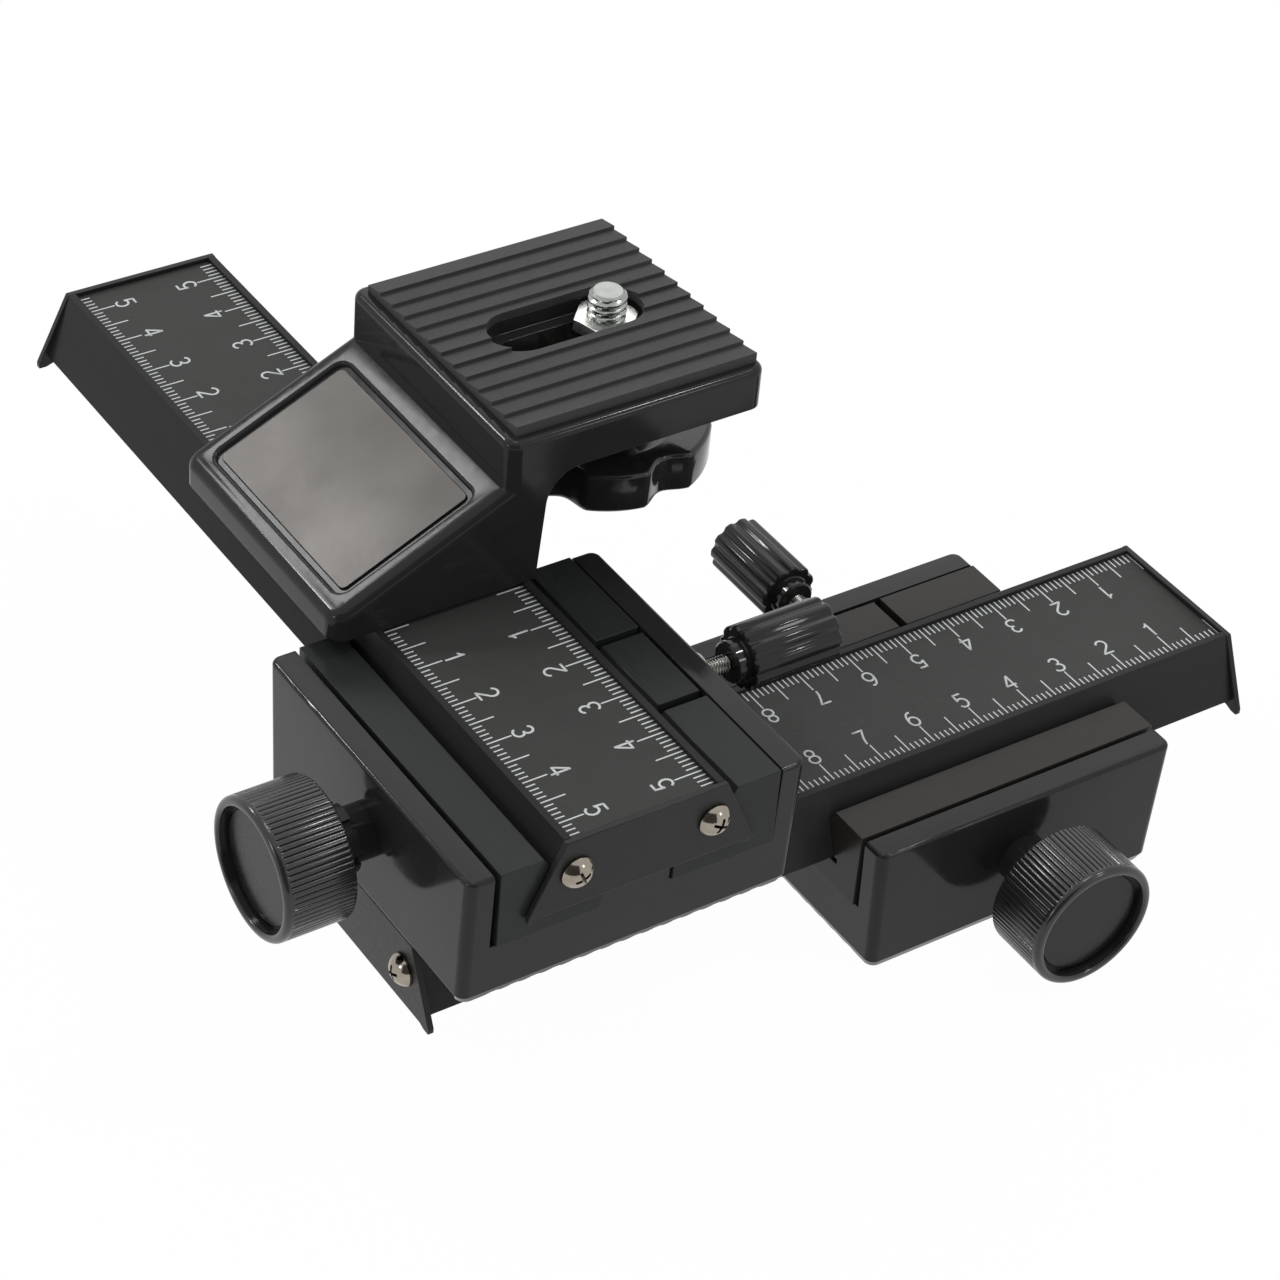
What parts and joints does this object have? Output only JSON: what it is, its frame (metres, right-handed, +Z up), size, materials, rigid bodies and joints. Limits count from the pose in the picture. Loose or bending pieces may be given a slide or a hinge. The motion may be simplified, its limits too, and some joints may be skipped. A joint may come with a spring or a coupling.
{
  "type": "macro focusing rail",
  "caption": "Two-axis macro focusing rail: a tripod carriage guides a geared dovetail rail, and a second carriage and rail across it carry a camera platform.",
  "frame": {"origin": "mouth of the tripod socket, in the middle of the lower carriage's underside", "axes": "+X along the lower rail, away from the upper carriage; +Y along the upper rail, away from the focus knob side of the lower carriage; +Z up"},
  "size_m": [0.1819, 0.18, 0.086],
  "materials": {
    "enamel": "glossy black enamel on die-cast zinc",
    "satin_black": "satin black anodised aluminium",
    "scale_black": "matt black anodised aluminium",
    "black_sheet": "satin black lacquered sheet",
    "knob_plastic": "moulded black ABS",
    "gloss_knob": "glossy moulded black plastic",
    "steel": "turned steel",
    "zinc": "bright zinc plate",
    "nickel": "nickel-plated steel",
    "brass": "turned brass",
    "nylon": "natural nylon",
    "rubber": "matt moulded rubber",
    "plate": "brushed dark aluminium, bare of any print"
  },
  "bodies": {
    "base": {"lower_carriage": "enamel", "lower_fixed_gib": "satin_black", "lower_end_gibs": "satin_black", "lower_gib_screws": "steel", "lower_focus_bush": "black_sheet", "lower_lock_washer": "nylon", "tripod_socket": "brass"},
    "lower_lock_clamp": {"lower_lock_gib": "satin_black"},
    "lower_lock_grip": {"lower_lock_screw": "zinc", "lower_lock_knob": "gloss_knob"},
    "lower_drive": {"lower_pinion_shaft": "steel", "lower_focus_knob": "knob_plastic", "lower_knob_face": "knob_plastic"},
    "lower_slide": {"lower_rail": "scale_black", "lower_rack": "steel", "lower_left_end_plate": "black_sheet", "lower_right_end_plate": "black_sheet", "lower_end_screws": "nickel", "upper_carriage": "enamel", "carriage_screws": "steel", "upper_fixed_gib": "satin_black", "upper_end_gibs": "satin_black", "upper_gib_screws": "steel", "upper_focus_bush": "black_sheet", "upper_lock_washer": "nylon"},
    "upper_lock_clamp": {"upper_lock_gib": "satin_black"},
    "upper_lock_grip": {"upper_lock_screw": "zinc", "upper_lock_knob": "gloss_knob"},
    "upper_drive": {"upper_pinion_shaft": "steel", "upper_focus_knob": "knob_plastic", "upper_knob_face": "knob_plastic"},
    "upper_slide": {"upper_rail": "scale_black", "upper_rack": "steel", "upper_front_end_plate": "black_sheet", "upper_rear_end_plate": "black_sheet", "upper_end_screws": "nickel", "camera_bracket": "enamel", "name_plate": "plate", "platform_pad": "rubber", "bracket_screws": "steel"},
    "camera_slider": {"wheel_washer": "nylon"},
    "camera_wheel": {"camera_screw": "zinc", "hex_nut": "zinc", "thumbwheel": "gloss_knob"}
  },
  "joints": [
    {"name": "lower_rail_slide", "type": "slide", "parent": "base", "child": "lower_slide", "axis": [1, 0, 0], "range_m": [-0.0237, 0.0747]},
    {"name": "upper_rail_slide", "type": "slide", "parent": "lower_slide", "child": "upper_slide", "axis": [0, 1, 0], "range_m": [-0.0984, 0]},
    {"name": "lower_focus_turn", "type": "hinge", "parent": "base", "child": "lower_drive", "pos_m": [0, -0.04, 0.0126], "axis": [0, 1, 0], "range_deg": [-340, 1070]},
    {"name": "upper_focus_turn", "type": "hinge", "parent": "lower_slide", "child": "upper_drive", "pos_m": [-0.1166, 0, 0.0399], "axis": [-1, 0, 0], "range_deg": [-1410, 0]},
    {"name": "lower_lock_press", "type": "slide", "parent": "base", "child": "lower_lock_clamp", "axis": [0, -1, 0], "range_m": [-0.0005, 0.0001]},
    {"name": "lower_lock_turn", "type": "hinge", "parent": "lower_lock_clamp", "child": "lower_lock_grip", "pos_m": [0, 0.04, 0.02], "axis": [0, -1, 0], "range_deg": [-360, 72]},
    {"name": "upper_lock_press", "type": "slide", "parent": "lower_slide", "child": "upper_lock_clamp", "axis": [-1, 0, 0], "range_m": [-0.0005, 0.0001]},
    {"name": "upper_lock_turn", "type": "hinge", "parent": "upper_lock_clamp", "child": "upper_lock_grip", "pos_m": [-0.0366, 0, 0.0473], "axis": [-1, 0, 0], "range_deg": [-360, 72]},
    {"name": "camera_screw_slide", "type": "slide", "parent": "upper_slide", "child": "camera_slider", "axis": [1, 0, 0], "range_m": [-0.0156, 0]},
    {"name": "camera_wheel_turn", "type": "hinge", "parent": "camera_slider", "child": "camera_wheel", "pos_m": [-0.035, 0.0487, 0.0646], "axis": [0, 0, 1], "continuous": true}
  ],
  "couplings": [
    {"joint": "lower_focus_turn", "follows": "lower_rail_slide", "rad_per_m": 250},
    {"joint": "upper_focus_turn", "follows": "upper_rail_slide", "rad_per_m": 250},
    {"joint": "lower_lock_turn", "follows": "lower_lock_press", "rad_per_m": 12566},
    {"joint": "upper_lock_turn", "follows": "upper_lock_press", "rad_per_m": 12566}
  ]
}
